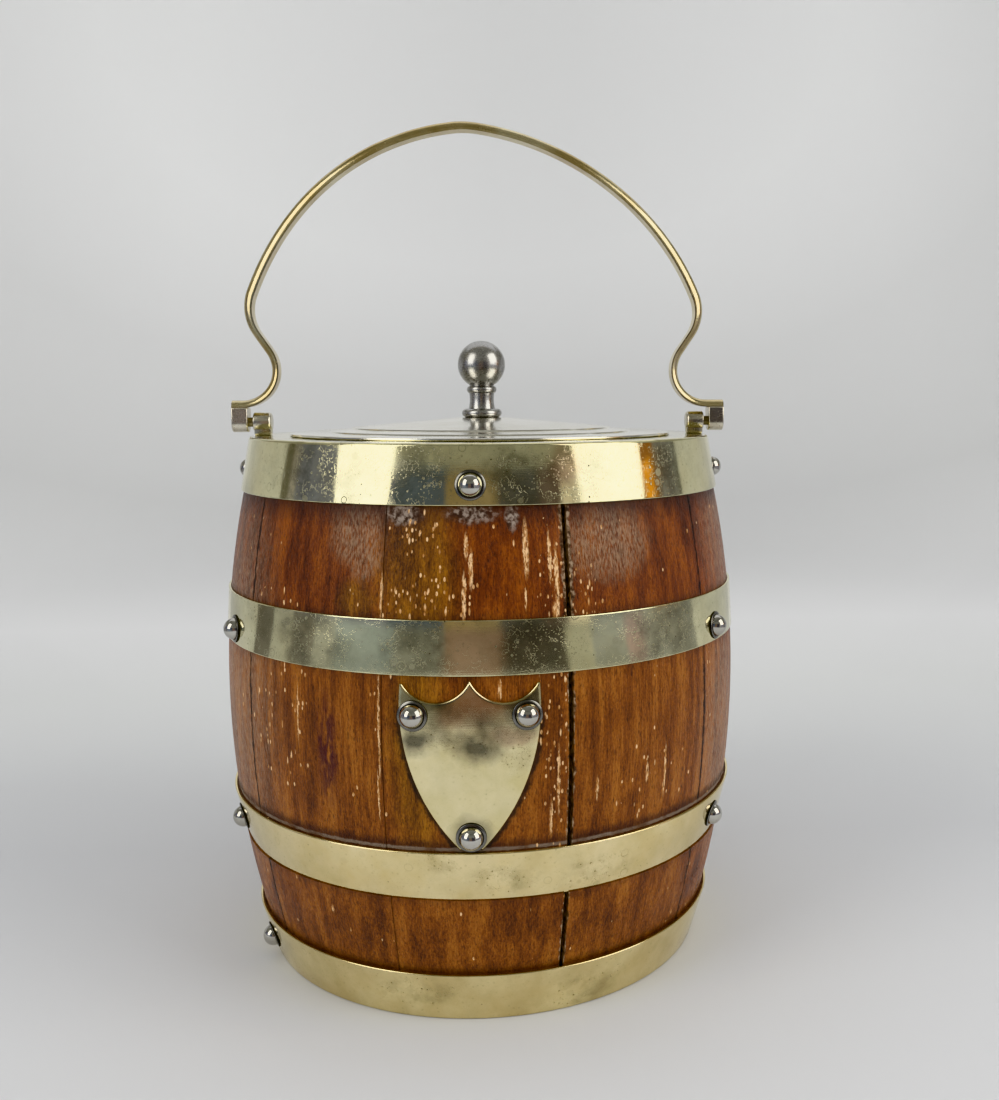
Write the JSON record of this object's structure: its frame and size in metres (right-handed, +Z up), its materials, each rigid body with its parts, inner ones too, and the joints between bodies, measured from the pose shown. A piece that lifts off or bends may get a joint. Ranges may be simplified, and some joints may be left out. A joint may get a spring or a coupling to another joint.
{
  "type": "biscuit jar",
  "caption": "Oak stave barrel with metal bands, a blank shield, a porcelain liner, a lift-off lid with a ball knob and a half-round swing handle.",
  "frame": {"origin": "centre of the foot, on the table", "axes": "+Z up, -Y to the front with the shield, +X to the right seen from the front, along the handle's pivots"},
  "size_m": [0.15, 0.1564, 0.2398],
  "materials": {
    "oak": "varnished, aged",
    "oak_bottom": "bare, darkened",
    "band_metal": "worn silver plate on nickel silver, satin",
    "pin_metal": "polished plate",
    "handle_metal": "worn plate, brassy where it is handled",
    "lid_metal": "worn plate, polished",
    "fitting_metal": "dull plate",
    "porcelain": "white glazed porcelain, opaque"
  },
  "bodies": {
    "barrel": {"stave_1": "oak", "stave_2": "oak", "stave_3": "oak", "stave_4": "oak", "stave_5": "oak", "stave_6": "oak", "stave_7": "oak", "stave_8": "oak", "stave_9": "oak", "stave_10": "oak", "base_board": "oak_bottom", "liner": "porcelain", "rim_band": "band_metal", "upper_hoop": "band_metal", "lower_hoop": "band_metal", "base_band": "band_metal", "rim_band_pins": "pin_metal", "upper_hoop_pins": "pin_metal", "lower_hoop_pins": "pin_metal", "base_band_pins": "pin_metal", "shield": "band_metal", "shield_pins": "pin_metal", "lug_left": "handle_metal", "lug_right": "handle_metal"},
    "swing_handle": {"handle": "handle_metal", "handle_boss_left": "handle_metal", "handle_boss_right": "handle_metal", "pivot_pin_left": "fitting_metal", "pivot_pin_right": "fitting_metal"},
    "lid": {"lid": "lid_metal", "lid_collar": "lid_metal", "knob": "lid_metal", "knob_washer": "fitting_metal", "knob_nut": "fitting_metal"}
  },
  "joints": [
    {"name": "handle_swing", "type": "hinge", "parent": "barrel", "child": "swing_handle", "pos_m": [0, 0, 0.1523], "axis": [1, 0, 0], "range_deg": [-93, 93]},
    {"name": "lid_lift", "type": "slide", "parent": "barrel", "child": "lid", "axis": [0, 0, 1], "range_m": [0, 0.05]}
  ]
}
